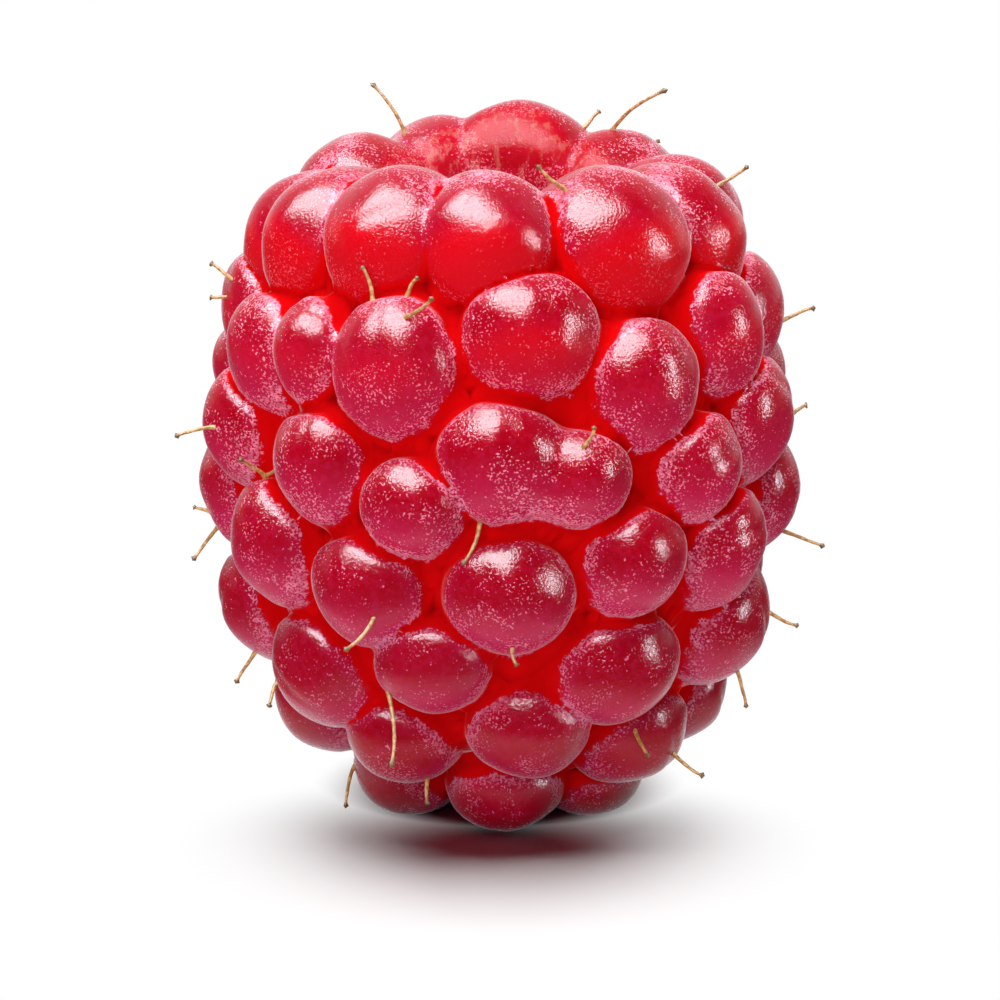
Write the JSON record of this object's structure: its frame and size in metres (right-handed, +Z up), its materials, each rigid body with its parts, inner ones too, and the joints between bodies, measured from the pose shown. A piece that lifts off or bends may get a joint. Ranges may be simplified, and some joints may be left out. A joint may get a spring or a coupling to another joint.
{
  "type": "raspberry",
  "caption": "Picked red raspberry standing on its blunt tip: rings of round drupelets grown together round an open hollow, with fine dry golden styles on them.",
  "frame": {"origin": "middle of the small flat that the middle drupelet of the fruit's tip stands on, at the surface it rests on", "axes": "+Z up through the hollow's mouth, -Y towards the side shown, +X to the right of that side"},
  "size_m": [0.0236, 0.0236, 0.0262],
  "materials": {
    "flesh": "deep crimson, translucent and softly glossy, with a pale powdery bloom of very short hairs on each drupelet's cap and smoother bright red between the caps",
    "dry_style": "dry golden tan, darker brown towards the small knob at the end"
  },
  "bodies": {
    "root": {"fruit": "flesh", "style_01": "dry_style", "style_02": "dry_style", "style_03": "dry_style", "style_04": "dry_style", "style_05": "dry_style", "style_06": "dry_style", "style_07": "dry_style", "style_08": "dry_style", "style_09": "dry_style", "style_10": "dry_style", "style_11": "dry_style", "style_12": "dry_style", "style_13": "dry_style", "style_14": "dry_style", "style_15": "dry_style", "style_16": "dry_style", "style_17": "dry_style", "style_18": "dry_style", "style_19": "dry_style", "style_20": "dry_style", "style_21": "dry_style", "style_22": "dry_style", "style_23": "dry_style", "style_24": "dry_style", "style_25": "dry_style", "style_26": "dry_style", "style_27": "dry_style", "style_28": "dry_style", "style_29": "dry_style", "style_30": "dry_style", "style_31": "dry_style", "style_32": "dry_style", "style_33": "dry_style", "style_34": "dry_style", "style_35": "dry_style", "style_36": "dry_style", "style_37": "dry_style", "style_38": "dry_style", "style_39": "dry_style", "style_40": "dry_style", "style_41": "dry_style", "style_42": "dry_style"}
  },
  "joints": []
}
